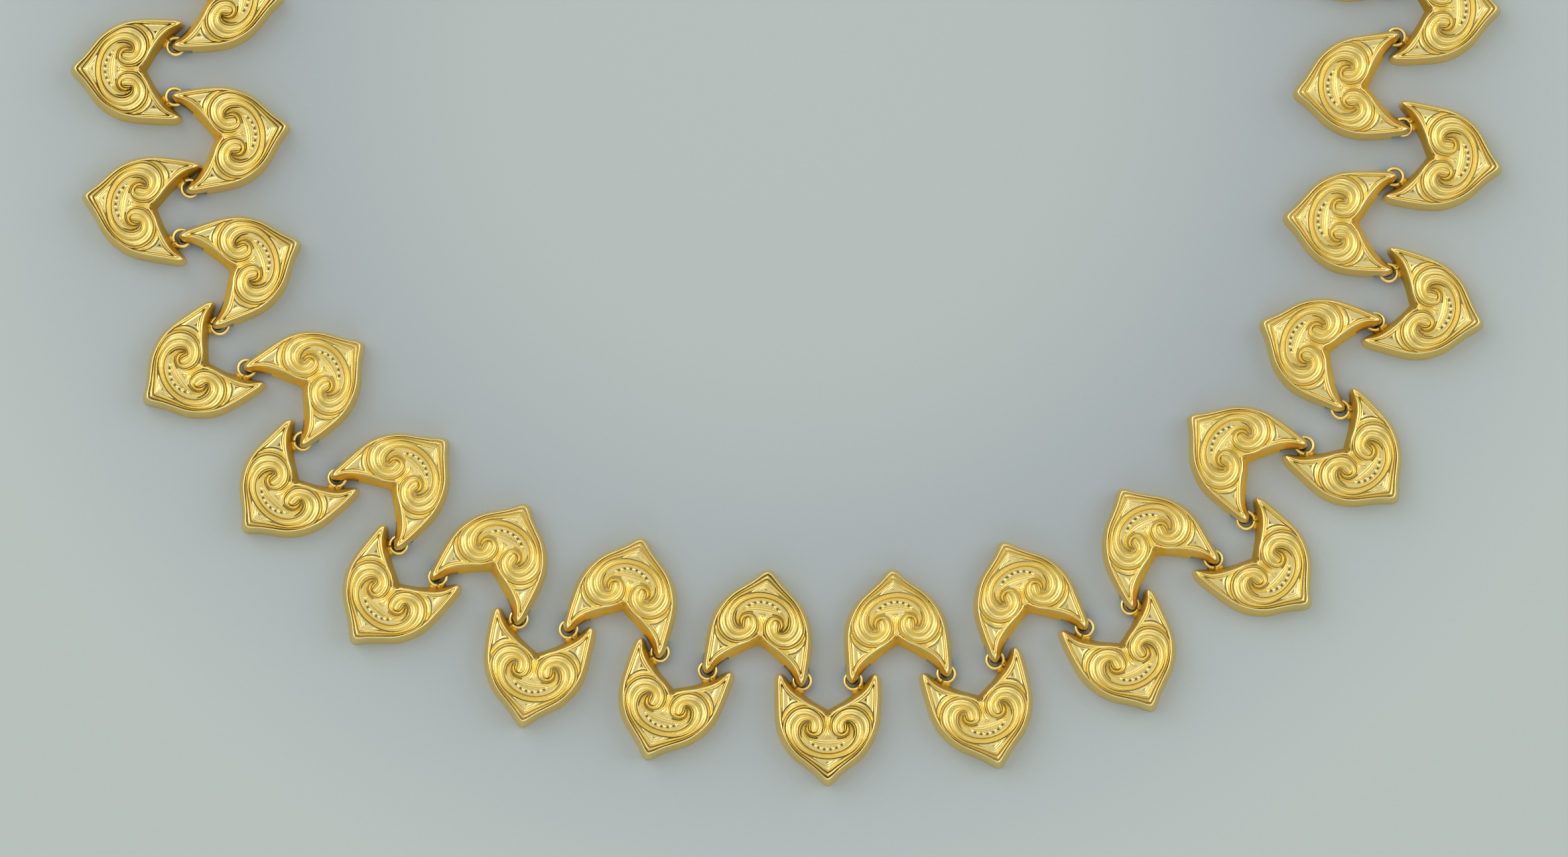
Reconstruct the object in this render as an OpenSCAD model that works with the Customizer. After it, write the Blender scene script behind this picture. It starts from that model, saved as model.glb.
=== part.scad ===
// A gold collar necklace of ivy-leaf links, lying flat in a ring with its faces up.
// All sizes are in millimetres. The ring's box is centred on the origin, its underside is z = 0,
// and the front centre of the necklace lies toward -Y.
//
// Every link is the same cast leaf: two horns, a V notch between them and a point opposite. Links
// take turns along the ring. An outer link points outward and has two wire eyes soldered low on its
// notch walls. An inner link points inward and its two horn tips lie over those eyes: each tip is
// undercut, and a pin with a round foot and a bar under it holds the eye's wire captive.

/* [Link casting] */
// thickness of a link, from the table to the top of its relief
link_h = 2.60; // [2:0.05:3.2]
// depth of the cast relief below the rim
relief = 0.35; // [0.2:0.05:0.6]
// width of the raised rim round the face
rim_w = 0.34; // [0.2:0.02:0.4]
// width of the volute ridges
ridge_w = 0.30; // [0.2:0.02:0.36]

/* [Volutes] */
// centre of the outer turn, across the leaf
volute_x = 2.55; // [2.4:0.05:2.7]
// centre of the outer turn, along the leaf
volute_y = -1.95; // [-2.1:0.05:-1.6]
// radius of the outer turn's upper half
outer_r = 2.20; // [2:0.05:2.3]
// radius of the inner turn's upper half
inner_r = 1.45; // [1.3:0.05:1.5]
// radius of the heart arc that sweeps under both volutes
heart_r = 3.05; // [2.9:0.05:3.2]
// number of granules in the row between the volutes
grains = 7; // [3:2:7]
// radius of one granule
grain_r = 0.26; // [0.2:0.01:0.3]

/* [Joints] */
// eye centre on an outer link, across the leaf
eye_x = 2.74; // [2.4:0.02:3]
// eye centre on an outer link, along the leaf
eye_y = 3.07; // [2.8:0.01:3.4]
// height of the eye's wire above the table
eye_z = 0.80; // [0.6:0.02:1]
// radius of the wire's centreline
eye_r = 0.90; // [0.7:0.02:1]
// radius of the wire itself
wire_r = 0.21; // [0.15:0.01:0.25]
// pin centre on an inner link, across the leaf
pin_x = 5.04; // [4.8:0.02:5.2]
// pin centre on an inner link, along the leaf
pin_y = 3.26; // [3:0.02:3.5]
// radius of the pin
pin_r = 0.25; // [0.2:0.01:0.35]
// underside of the horn tip above the table
undercut_z = 1.25; // [1.1:0.05:1.5]
// radius of the pin's round foot
foot_r = 0.60; // [0.4:0.02:0.65]
// where the undercut begins, along the leaf
undercut_y = 1.90; // [1.6:0.05:2.2]
// height of the foot and its bar under the eye
bar_z = 0.42; // [0.3:0.02:0.5]

/* [Ring] */
// members in the whole loop: outer links, inner links and the clasp
members = 54; // [50:2:60]
// the clasp's place in the loop, opposite the front centre
clasp_at = 43; // [41:2:45]
// thickness of the clasp's plate
clasp_h = 2.40; // [2:0.1:2.6]
// width of the clasp's plate between its arms
clasp_w = 3.20; // [2:0.1:5]
// width of each of its two arms
clasp_arm = 1.20; // [0.9:0.1:1.4]

/* [Hidden] */
$fn = 48;

// Half of the leaf's outline, from the notch down to the point. The casting is drafted, so the
// outline on the table is larger than the outline of the face.
// columns: x on the table, y on the table, x of the face, y of the face
LEAF = [
    [0.00, -0.04, 0.00, -1.00],
    [1.40, 0.78, 1.00, -0.10],
    [2.30, 1.40, 2.00, 0.42],
    [3.25, 2.17, 3.05, 1.08],
    [3.98, 2.92, 3.95, 1.82],
    [4.38, 3.40, 4.50, 2.48],
    [4.78, 3.80, 4.84, 3.20],
    [5.20, 3.92, 5.12, 3.60],
    [5.58, 3.60, 5.31, 3.24],
    [5.76, 2.80, 5.35, 2.40],
    [5.74, 0.60, 5.33, 0.50],
    [5.62, -1.40, 5.20, -1.30],
    [5.26, -2.85, 4.84, -2.70],
    [4.62, -4.10, 4.22, -3.92],
    [3.70, -5.26, 3.36, -5.02],
    [2.52, -6.20, 2.26, -5.92],
    [1.58, -6.96, 1.36, -6.64],
    [0.94, -7.60, 0.76, -7.22],
    [0.50, -8.02, 0.38, -7.60],
    [0.16, -8.20, 0.13, -7.76]
];
LAST = len(LEAF) - 1;
// rows where the horn begins, where the notch edge ends, where the outer side begins, and level
// with the notch
HORN_ROOT = 3;
HORN_IN = 5;
HORN_OUT = 9;
WAIST = 13;

// The way each member in view turns, left to right along the front, from 1 at the top left.
// The eyes are wider than the pins, so at each joint the next member lies a little off.
// columns: member, heading of the line through its joints in whole degrees, play of the joint
// after it across and up the necklace
HEADINGS = [
    [1, -89, -0.25, -0.05], [2, -91, 0.3, -0.1], [3, -81, -0.2, 0.15],
    [4, -99, 0.3, 0.1], [5, -69, 0.2, -0.15], [6, -58, 0.3, 0.1],
    [7, -54, -0.2, 0.2], [8, -47, -0.1, 0.25], [9, -48, -0.05, 0],
    [10, -39, -0.25, 0.15], [11, -28, 0.05, 0.05], [12, -12, 0.05, 0.3],
    [13, -16, 0.1, 0], [14, -21, 0.05, 0.25], [15, -8, 0.15, 0.05],
    [16, 0, -0.05, 0.3], [17, 4, 0, -0.25], [18, 16, 0, 0.3],
    [19, 20, 0.15, -0.25], [20, 26, 0.15, 0.1], [21, 29, 0, 0],
    [22, 50, -0.2, 0.25], [23, 52, 0.3, -0.1], [24, 45, -0.1, 0.3],
    [25, 67, -0.1, -0.05], [26, 74, -0.2, 0.25], [27, 87, 0.3, 0.1],
    [28, 80, 0.1, -0.3], [29, 96, 0.25, 0.05], [30, 91, 0, 0]
];
SEEN = len(HEADINGS);

function is_outer(k) = k % 2 == 0;
function chord(k) = is_outer(k) ? 2 * eye_x : 2 * pin_x;
function step(k, h, play) = chord(k) * [cos(h), sin(h)] + play;
function sum_to(v, n) = n < 0 ? [0, 0] : v[n] + sum_to(v, n - 1);

// The members in view are walked joint by joint.
seen_steps = [for (row = HEADINGS) step(row[0], row[1], [row[2], row[3]])];
seen_end = sum_to(seen_steps, SEEN - 1);

// The hidden stretch runs back to the start on one even arc. Its radius is found by halving.
gap_dir = atan2(-seen_end[1], -seen_end[0]);
gap_len = norm(seen_end);
function turn_of(k, r) = 2 * asin(chord(k) / (2 * r));
function turned(k, r) = k <= SEEN ? 0 : turn_of(k, r) + turned(k - 1, r);
function excess(r) = turned(members, r) - 2 * asin(gap_len / (2 * r));
function halve(lo, hi, n) =
    let (mid = (lo + hi) / 2)
    n == 0 ? mid : (excess(mid) > 0 ? halve(lo, mid, n - 1) : halve(mid, hi, n - 1));
arc_r = halve(gap_len / 2 + 0.001, 2 * gap_len, 40);
arc_start = gap_dir - turned(members, arc_r) / 2;
function heading(k) =
    k <= SEEN ? HEADINGS[k - 1][1]
    : arc_start + turned(k - 1, arc_r) + turn_of(k, arc_r) / 2;

// Start joint, turn and place of each member, in the frame of the first joint.
steps = concat(seen_steps, [for (k = [SEEN + 1:members]) step(k, heading(k), [0, 0])]);
function start_of(k) = sum_to(steps, k - 2);
function spin(v, a) = [v[0] * cos(a) - v[1] * sin(a), v[0] * sin(a) + v[1] * cos(a)];
function turn(k) = is_outer(k) ? heading(k) : heading(k) + 180;
function grip(k) = is_outer(k) ? [-eye_x, eye_y] : [pin_x, pin_y];
function place(k) = start_of(k) - spin(grip(k), turn(k));
places = [for (k = [1:members]) place(k)];
turns = [for (k = [1:members]) turn(k)];

// The loop's box is centred on the origin.
table_pts = [
    for (k = [1:members])
        for (row = LEAF)
            for (side = [-1, 1])
                places[k - 1] + spin([side * row[0], row[1]], turns[k - 1])
];
xs = [for (p = table_pts) p[0]];
ys = [for (p = table_pts) p[1]];
middle = [(min(xs) + max(xs)) / 2, (min(ys) + max(ys)) / 2];

// Points of the leaf: the right half from the notch to the point, then the left half back up.
// The foot of the horns is raised by lift: an undercut horn stays wide down to its underside.
ring_n = 2 * LAST + 1;
function row_of(i) = i <= LAST ? i : ring_n - i;
function on_horn(i) = row_of(i) >= HORN_ROOT && row_of(i) < HORN_OUT;
function leaf_pt(i, up, lift) =
    let (row = LEAF[row_of(i)], side = i <= LAST ? 1 : -1)
    up ? [side * row[2], row[3], link_h] : [side * row[0], row[1], on_horn(i) ? lift : 0];
function leaf_points(lift) = concat(
    [for (i = [0:ring_n - 1]) leaf_pt(i, false, lift)],
    [for (i = [0:ring_n - 1]) leaf_pt(i, true, lift)]
);
function twin(i) = i == 0 ? 0 : ring_n - i;

// Each flat side is laid out in strips: across both horns, the middle, then down to the point.
flat_strips = concat(
    [for (i = [0:HORN_IN]) [i, i + 1, WAIST - i - 1, WAIST - i]],
    [for (i = [0:HORN_IN]) [twin(WAIST - i), twin(WAIST - i - 1), twin(i + 1), twin(i)]],
    [[0, WAIST, twin(WAIST)]],
    [for (i = [WAIST:LAST - 1]) [i, i + 1, twin(i + 1), twin(i)]]
);
function cut_up(f) =
    len(f) == 3 ? [f] :
    f[0] < ring_n / 2 ? [[f[0], f[1], f[2]], [f[0], f[2], f[3]]] :
    [[f[1], f[2], f[3]], [f[0], f[1], f[3]]];
function flipped(f) = [for (i = [len(f) - 1:-1:0]) f[i]];
function raised(f) = [for (i = f) i + ring_n];
leaf_faces = concat(
    [for (f = flat_strips) for (t = cut_up(f)) flipped(t)],
    [for (f = flat_strips) raised(f)],
    [for (i = [0:ring_n - 1]) [i, (i + 1) % ring_n + ring_n, i + ring_n]],
    [for (i = [0:ring_n - 1]) [i, (i + 1) % ring_n, (i + 1) % ring_n + ring_n]]
);

module leaf_body(lift) {
    polyhedron(points = leaf_points(lift), faces = leaf_faces);
}

// A ridge along a path: the path moved half a width to each side.
function along(p, i) =
    let (a = p[max(i - 1, 0)], b = p[min(i + 1, len(p) - 1)])
    (b - a) / norm(b - a);
function beside(p, i, d) = p[i] + d * [-along(p, i)[1], along(p, i)[0]];
function ridge(p, w) = concat(
    [for (i = [0:len(p) - 1]) beside(p, i, w / 2)],
    [for (i = [len(p) - 1:-1:0]) beside(p, i, -w / 2)]
);

// The sunk field inside the rim. By the notch its edge runs along the volute's outer turn.
face_edge = [for (row = LEAF) [row[2], row[3]]];
field_half = concat(
    [[0, volute_y - 0.25]],
    [for (a = [180:-20:80]) [volute_x + outer_r * cos(a), volute_y + outer_r * sin(a)]],
    [for (i = [HORN_IN - 2:HORN_IN]) beside(face_edge, i, -rim_w)],
    [for (i = [HORN_OUT:LAST - 2]) beside(face_edge, i, -rim_w)],
    [[0, -7.25]]
);
field_n = len(field_half);
field = concat(
    field_half,
    [for (i = [field_n - 2:-1:1]) [-field_half[i][0], field_half[i][1]]]
);

// The inner turn's ridge runs on from the volute down to a V over the point.
heart_y = volute_y - 0.30;
sweep_run = [
    [volute_x + inner_r, volute_y],
    [3.84, -3.15],
    [3.12, -4.40],
    [2.00, -5.32],
    [0.00, -6.95]
];

module half_ring(x, y, r, above) {
    translate([x, y])
        intersection() {
            difference() {
                circle(r = r + ridge_w / 2);
                circle(r = r - ridge_w / 2);
            }
            translate([-4, above ? 0 : -4])
                square([8, 4]);
        }
}

// One side of the double spiral: each turn is an upper half ring and a smaller lower one.
module volute() {
    half_ring(volute_x, volute_y, outer_r, true);
    half_ring(volute_x - outer_r / 2, volute_y, outer_r / 2, false);
    half_ring(volute_x, volute_y, inner_r, true);
    half_ring(volute_x - inner_r + 0.52, volute_y, 0.52, false);
    half_ring(heart_r - 0.60, heart_y, 0.60, true);
    polygon(ridge(sweep_run, ridge_w));
}

// The crescent between the volutes, where two circles cross.
module crescent() {
    intersection() {
        difference() {
            translate([0, -1.90])
                circle(r = 2.00);
            translate([0, -1.25])
                circle(r = 2.20);
        }
        translate([-1.35, -4.2])
            square([2.7, 1.3]);
    }
}

module ridges() {
    volute();
    mirror([1, 0])
        volute();
    half_ring(0, heart_y, heart_r, false);
    crescent();
    // small gable over the crescent
    polygon([[-0.42, -3.12], [0.42, -3.12], [0, -2.66]]);
}

module horn_cell() {
    polygon([[4.86, 2.10], [4.86, -0.10], [3.70, 0.80], [4.24, 1.30]]);
}

// Low cells in the horns and over the point, standing a little off the sunk field.
module low_cells() {
    horn_cell();
    mirror([1, 0])
        horn_cell();
    polygon([[-0.86, -5.62], [0.86, -5.62], [0, -6.30]]);
}

module leaf(lift = 0) {
    difference() {
        leaf_body(lift);
        translate([0, 0, link_h - relief])
            linear_extrude(height = 1)
                difference() {
                    polygon(field);
                    ridges();
                }
    }
    translate([0, 0, link_h - relief])
        linear_extrude(height = relief * 0.6)
            low_cells();
    for (i = [0:grains - 1])
        grain_at((i - (grains - 1) / 2) * 17)
            sphere(r = grain_r);
}

// The granules lie on an arc inside the heart's.
module grain_at(a) {
    translate([0, heart_y, link_h - grain_r])
        rotate([0, 0, a])
            translate([0, -heart_r * 0.74, 0])
                children();
}

// A wire eye and the soldered foot that holds it to the notch wall.
module eye() {
    translate([eye_x, eye_y, eye_z]) {
        rotate_extrude()
            translate([eye_r, 0])
                circle(r = wire_r);
        rotate([0, 0, -52])
            translate([eye_r, 0, 0])
                rotate([0, 90, 0])
                    cylinder(r = 0.26, h = 0.85);
    }
}

module outer_link() {
    color("gold")
        union() {
            leaf();
            eye();
            mirror([1, 0, 0])
                eye();
        }
}

// The pin goes down through the neighbour's eye to a round foot, and a bar joins the foot to the
// leaf under the eye's wire.
module pin_and_bar() {
    translate([pin_x, pin_y, 0])
        cylinder(r = pin_r, h = undercut_z + 0.2);
    translate([pin_x, pin_y, 0])
        cylinder(r = foot_r, h = bar_z);
    translate([pin_x - pin_r * 0.85, undercut_y - 0.25, 0])
        cube([pin_r * 1.7, pin_y - undercut_y + 0.25, bar_z]);
}

module undercut() {
    translate([-8, undercut_y, -1])
        cube([16, 4, undercut_z + 1]);
}

module inner_link() {
    color("gold")
        union() {
            difference() {
                leaf(lift = undercut_z - 0.15);
                undercut();
            }
            pin_and_bar();
            mirror([1, 0, 0])
                pin_and_bar();
        }
}

// The clasp is out of view, so it is one plain plate with the same two pins, feet and bars.
module clasp_plate() {
    arm = clasp_arm;
    color("gold")
        union() {
            difference() {
                union() {
                    translate([-pin_x - arm / 2, 1.4 - clasp_w, 0])
                        cube([2 * pin_x + arm, clasp_w, clasp_h]);
                    for (side = [-1, 1])
                        translate([side * pin_x - arm / 2, 1, 0])
                            cube([arm, pin_y - 0.3, clasp_h]);
                }
                undercut();
            }
            pin_and_bar();
            mirror([1, 0, 0])
                pin_and_bar();
        }
}

module member(k) {
    translate([places[k - 1][0] - middle[0], places[k - 1][1] - middle[1], 0])
        rotate([0, 0, turns[k - 1]])
            if (k == clasp_at)
                clasp_plate();
            else if (is_outer(k))
                outer_link();
            else
                inner_link();
}

module back_links_right() {
    for (k = [SEEN + 1:clasp_at - 1])
        member(k);
}

module back_links_left() {
    for (k = [clasp_at + 1:members])
        member(k);
}

member(1);  // link_01
member(2);  // link_02
member(3);  // link_03
member(4);  // link_04
member(5);  // link_05
member(6);  // link_06
member(7);  // link_07
member(8);  // link_08
member(9);  // link_09
member(10);  // link_10
member(11);  // link_11
member(12);  // link_12
member(13);  // link_13
member(14);  // link_14
member(15);  // link_15
member(16);  // link_16
member(17);  // link_17
member(18);  // link_18
member(19);  // link_19
member(20);  // link_20
member(21);  // link_21
member(22);  // link_22
member(23);  // link_23
member(24);  // link_24
member(25);  // link_25
member(26);  // link_26
member(27);  // link_27
member(28);  // link_28
member(29);  // link_29
member(30);  // link_30
back_links_right();
member(clasp_at);  // clasp
back_links_left();
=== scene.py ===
# %% [markdown]
# # A gold collar of ivy-leaf links
# The real piece is a necklace of small cast gold leaves. Every second leaf points outward and
# carries two wire eyes. The leaves between them point inward, and their horn tips hook into
# those eyes. This lesson dresses the packed model: the CAD file gives the places and the sizes,
# and Blender gives each leaf its fine chased relief and its metal.
# All sizes in this file are written in millimetres and turned into metres at the very end.

# %% Load the packed necklace
import math
import bmesh
import bpy
import numpy as np
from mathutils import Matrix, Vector


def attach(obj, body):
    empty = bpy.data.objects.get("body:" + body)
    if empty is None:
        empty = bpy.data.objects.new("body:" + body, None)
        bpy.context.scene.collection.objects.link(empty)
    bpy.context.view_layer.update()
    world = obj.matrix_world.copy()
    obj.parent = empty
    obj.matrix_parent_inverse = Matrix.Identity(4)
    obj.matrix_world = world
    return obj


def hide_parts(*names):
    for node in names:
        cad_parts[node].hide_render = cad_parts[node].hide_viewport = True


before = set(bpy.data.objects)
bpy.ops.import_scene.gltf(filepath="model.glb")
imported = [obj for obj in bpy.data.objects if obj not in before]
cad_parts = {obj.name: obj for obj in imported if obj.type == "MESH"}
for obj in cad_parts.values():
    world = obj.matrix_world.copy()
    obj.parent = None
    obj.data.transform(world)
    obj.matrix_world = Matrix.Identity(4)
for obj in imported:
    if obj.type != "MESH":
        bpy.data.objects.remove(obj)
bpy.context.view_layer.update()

MM = 0.001

# %% [markdown]
# ## Where each link lies
# A chain lies as its joints allow. The links could be set by hand one at a time, but then a small
# mistake would pull a pin out of its eye. So only each link's heading is written down, the
# direction of the line through its two joints, with the little play that the joint after it has.

# %% The joints and the headings
MEMBERS, SEEN, CLASP_AT = 54, 30, 43
EYE_X, EYE_Y, EYE_Z, EYE_R, WIRE_R = 2.74, 3.07, 0.80, 0.90, 0.21
PIN_X, PIN_Y, PIN_R, FOOT_R, BAR_Z = 5.04, 3.26, 0.25, 0.60, 0.42
UNDERCUT_Y, UNDERCUT_Z = 1.90, 1.25

# columns: member, heading in degrees, play of the joint after it across and up the necklace
HEADINGS = [
    (1, -89, -0.25, -0.05), (2, -91, 0.3, -0.1), (3, -81, -0.2, 0.15),
    (4, -99, 0.3, 0.1), (5, -69, 0.2, -0.15), (6, -58, 0.3, 0.1),
    (7, -54, -0.2, 0.2), (8, -47, -0.1, 0.25), (9, -48, -0.05, 0),
    (10, -39, -0.25, 0.15), (11, -28, 0.05, 0.05), (12, -12, 0.05, 0.3),
    (13, -16, 0.1, 0), (14, -21, 0.05, 0.25), (15, -8, 0.15, 0.05),
    (16, 0, -0.05, 0.3), (17, 4, 0, -0.25), (18, 16, 0, 0.3),
    (19, 20, 0.15, -0.25), (20, 26, 0.15, 0.1), (21, 29, 0, 0),
    (22, 50, -0.2, 0.25), (23, 52, 0.3, -0.1), (24, 45, -0.1, 0.3),
    (25, 67, -0.1, -0.05), (26, 74, -0.2, 0.25), (27, 87, 0.3, 0.1),
    (28, 80, 0.1, -0.3), (29, 96, 0.25, 0.05), (30, 91, 0, 0),
]
print("links in view:", len(HEADINGS), "of", MEMBERS)

# %% [markdown]
# ## From joint to joint
# The links are walked one after the other: each step is the line between a link's two joints,
# turned to its heading. The steps that are in view add up to the gap that the rest must close.

# %% Walk the links in view
def is_outer(k):
    return k % 2 == 0


def chord(k):
    return 2 * (EYE_X if is_outer(k) else PIN_X)


def turned(x, y, degrees):
    a = math.radians(degrees)
    return np.array([x * math.cos(a) - y * math.sin(a), x * math.sin(a) + y * math.cos(a)])


def joint_step(k, heading, play_x=0, play_y=0):
    return turned(chord(k), 0, heading) + (play_x, play_y)


steps = [joint_step(*row) for row in HEADINGS]
gap = -sum(steps)
gap_length, gap_heading = math.hypot(*gap), math.degrees(math.atan2(gap[1], gap[0]))
print("gap behind the last link in view, in mm:", round(gap_length, 2))

# %% [markdown]
# ## Closing the loop
# The hidden links lie on one even arc. There is no closed formula for the radius of an arc when
# its length and its gap are known, so the radius is found by halving a range forty times.

# %% Bend the hidden stretch into an arc
def bend_of(k, radius):
    return math.degrees(2 * math.asin(chord(k) / (2 * radius)))


def spare_bend(radius):
    bend = sum(bend_of(k, radius) for k in range(SEEN + 1, MEMBERS + 1))
    return bend - math.degrees(2 * math.asin(gap_length / (2 * radius)))


low, high = gap_length / 2 + 0.001, 2 * gap_length
for _ in range(40):
    arc_radius = (low + high) / 2
    if spare_bend(arc_radius) > 0:
        high = arc_radius
    else:
        low = arc_radius
headings = [row[1] for row in HEADINGS]
bends = [bend_of(k, arc_radius) for k in range(SEEN + 1, MEMBERS + 1)]
ahead = gap_heading - sum(bends) / 2
for k, bend in zip(range(SEEN + 1, MEMBERS + 1), bends):
    headings.append(ahead + bend / 2)
    steps.append(joint_step(k, headings[-1]))
    ahead += bend
print("hidden arc radius in mm:", round(arc_radius, 3))
print("the loop closes to within", round(math.hypot(*sum(steps)), 4), "mm")

# %% [markdown]
# ## One leaf, drawn once
# All the links come from one pattern, so its outline is written once, as half a leaf from the
# notch down to the point. The wall leans inward, so the outline on the table is larger than the
# outline of the face. The last two columns are the inner foot of the moulding that runs round
# the face.

# %% The outline of half a leaf
LINK_H, FIELD_Z = 2.60, 2.24
# columns: x and y on the table, x and y of the face, x and y of the moulding's foot
LEAF = np.array([
    (0.00, -0.04, 0.00, -1.00, 0.00, -1.24), (1.40, 0.78, 1.00, -0.10, 1.08, -0.35),
    (2.30, 1.40, 2.00, 0.42, 2.12, 0.16), (3.25, 2.17, 3.05, 1.08, 3.32, 0.66),
    (3.98, 2.92, 3.95, 1.82, 4.20, 1.32), (4.38, 3.40, 4.50, 2.48, 4.66, 1.90),
    (4.78, 3.80, 4.84, 3.20, 4.87, 2.36), (5.20, 3.92, 5.12, 3.60, 4.92, 2.50),
    (5.58, 3.60, 5.31, 3.24, 4.95, 2.36), (5.76, 2.80, 5.35, 2.40, 4.93, 2.00),
    (5.74, 0.60, 5.33, 0.50, 4.90, 0.40), (5.62, -1.40, 5.20, -1.30, 4.94, -1.30),
    (5.26, -2.85, 4.84, -2.70, 4.66, -2.62), (4.62, -4.10, 4.22, -3.92, 4.06, -3.80),
    (3.70, -5.26, 3.36, -5.02, 3.23, -4.87), (2.52, -6.20, 2.26, -5.92, 2.15, -5.76),
    (1.58, -6.96, 1.36, -6.64, 1.27, -6.47), (0.94, -7.60, 0.76, -7.22, 0.69, -7.04),
    (0.50, -8.02, 0.38, -7.60, 0.30, -7.36), (0.16, -8.20, 0.13, -7.76, 0.08, -7.49),
    (0.00, -8.22, 0.00, -7.79, 0.00, -7.52),
])
print("rows of the outline:", len(LEAF))

# %% [markdown]
# ## Each leaf on its joints
# A leaf is turned to its heading and moved until its eye or its pin lies on the joint. The ring
# is then moved so that its middle is the middle of the frame, as in the packed model.

# %% Set each leaf on its joints
def leaf_turn(k):
    return headings[k - 1] + (0 if is_outer(k) else 180)


joint, places = np.zeros(2), []
for k in range(1, MEMBERS + 1):
    grip = (-EYE_X, EYE_Y) if is_outer(k) else (PIN_X, PIN_Y)
    places.append(joint - turned(*grip, leaf_turn(k)))
    joint = joint + steps[k - 1]
corners = np.array([
    places[k - 1] + turned(side * row[0], row[1], leaf_turn(k))
    for k in range(1, MEMBERS + 1) for row in LEAF for side in (-1, 1)
])
middle = (corners.min(0) + corners.max(0)) / 2
places = [place - middle for place in places]
print("ring in mm:", np.round(corners.max(0) - corners.min(0), 3), "middle:", np.round(middle, 3))

# %% [markdown]
# ## The camera
# The photograph was taken with a long lens from almost straight above, leaning a few degrees
# toward the front of the necklace. A long lens far away keeps the ring round, where a short one
# close by would swell its middle.

# %% Place the camera
# width of the view and the point it is aimed at, lean in degrees, distance; lengths in mm
VIEW_W = 168.86
AIM = (-0.23, -38.72)
VIEW_LEAN, AWAY = 5.5, 2500.0
SENSOR = 36.0
camera = bpy.data.objects.new("camera", bpy.data.cameras.new("camera"))
bpy.context.scene.collection.objects.link(camera)
bpy.context.scene.camera = camera
camera.data.sensor_width = SENSOR
camera.data.lens = SENSOR * AWAY / VIEW_W
lean = math.radians(VIEW_LEAN)
camera.location = (AIM[0] * MM, (AIM[1] - AWAY * math.sin(lean)) * MM, AWAY * math.cos(lean) * MM)
camera.rotation_euler = (lean, 0, 0)
camera.data.clip_start, camera.data.clip_end = 0.05, 50.0
print("lens in mm:", round(camera.data.lens, 1))

# %% [markdown]
# ## The ground
# The necklace lies on a sheet of grey-green paper. One large square is enough for it, a hair
# below the metal so that the two never fight for the same height. Every material starts from a
# bare node tree, because a known start is easier to follow than a changed default.

# %% Lay the ground
def plain_nodes(material):
    material.use_nodes = True
    tree = material.node_tree
    tree.nodes.clear()
    shader = tree.nodes.new("ShaderNodeBsdfPrincipled")
    out = tree.nodes.new("ShaderNodeOutputMaterial")
    tree.links.new(shader.outputs["BSDF"], out.inputs["Surface"])
    return tree, shader


GROUND_HALF, GROUND_DROP = 9.0, 0.00002  # metres
ground_mesh = bpy.data.meshes.new("ground")
ground_mesh.from_pydata(
    [(x * GROUND_HALF, y * GROUND_HALF, 0) for x, y in ((-1, -1), (1, -1), (1, 1), (-1, 1))],
    [], [(0, 1, 2, 3)])
ground = bpy.data.objects.new("ground", ground_mesh)
bpy.context.scene.collection.objects.link(ground)
ground.location = (0, 0, -GROUND_DROP)
print("ground side in metres:", 2 * GROUND_HALF)

# %% [markdown]
# ## The paper
# Paper is dull and faintly grained, so two close greys are mixed by a fine noise. A soft shade
# lies along the necklace. More lamps could give it, but they would show in the gold, so it is
# laid into the paper as a ring of darker tint.

# %% Tint and shade the paper
paper = bpy.data.materials.new("grey_paper")
tree, shader = plain_nodes(paper)
shader.inputs["Roughness"].default_value = 0.9
shader.inputs["Specular IOR Level"].default_value = 0.15
grain = tree.nodes.new("ShaderNodeTexNoise")
grain.inputs["Scale"].default_value = 2600.0
grain.inputs["Detail"].default_value = 3.0
where = tree.nodes.new("ShaderNodeTexCoord")
tint = tree.nodes.new("ShaderNodeMix")
tint.data_type = "RGBA"
tint.inputs["A"].default_value = (0.450, 0.510, 0.488, 1)
tint.inputs["B"].default_value = (0.474, 0.534, 0.512, 1)
tree.links.new(where.outputs["Object"], grain.inputs["Vector"])
tree.links.new(grain.outputs["Fac"], tint.inputs["Factor"])
# columns: distance from the middle of the ring in mm, brightness there, and the same for blue
SHADE = [
    (0, 0.965, 0.97), (32, 0.955, 0.965), (46, 0.87, 0.91), (57, 0.77, 0.85),
    (66, 0.78, 0.87), (78, 0.88, 0.93), (90, 0.98, 0.99), (100, 1.0, 1.0),
]
reach = tree.nodes.new("ShaderNodeVectorMath")
reach.operation = "LENGTH"
span = tree.nodes.new("ShaderNodeMath")
span.operation = "MULTIPLY"
span.inputs[1].default_value = 1 / (SHADE[-1][0] * MM)
shade = tree.nodes.new("ShaderNodeValToRGB")
shade.color_ramp.interpolation = "B_SPLINE"
shade.color_ramp.elements[1].position = 1.0
for row in SHADE[1:-1]:
    shade.color_ramp.elements.new(row[0] / SHADE[-1][0])
for stop, (_, grey, blue) in zip(shade.color_ramp.elements, SHADE):
    stop.color = (grey, grey, blue, 1)
shaded = tree.nodes.new("ShaderNodeMix")
shaded.data_type, shaded.blend_type = "RGBA", "MULTIPLY"
shaded.inputs["Factor"].default_value = 1.0
tree.links.new(where.outputs["Object"], reach.inputs[0])
tree.links.new(reach.outputs["Value"], span.inputs[0])
tree.links.new(span.outputs[0], shade.inputs["Fac"])
tree.links.new(tint.outputs["Result"], shaded.inputs["A"])
tree.links.new(shade.outputs["Color"], shaded.inputs["B"])
tree.links.new(shaded.outputs["Result"], shader.inputs["Base Color"])
ground_mesh.materials.append(paper)
print("ground material:", paper.name)

# %% [markdown]
# ## The light
# Polished gold has no colour of its own to show: it mirrors what is above it. A single small lamp
# would give hard sparks and a black mirror. So the light is built as in a studio, with a pale
# tent that is bright overhead and darker at the sides.

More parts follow.
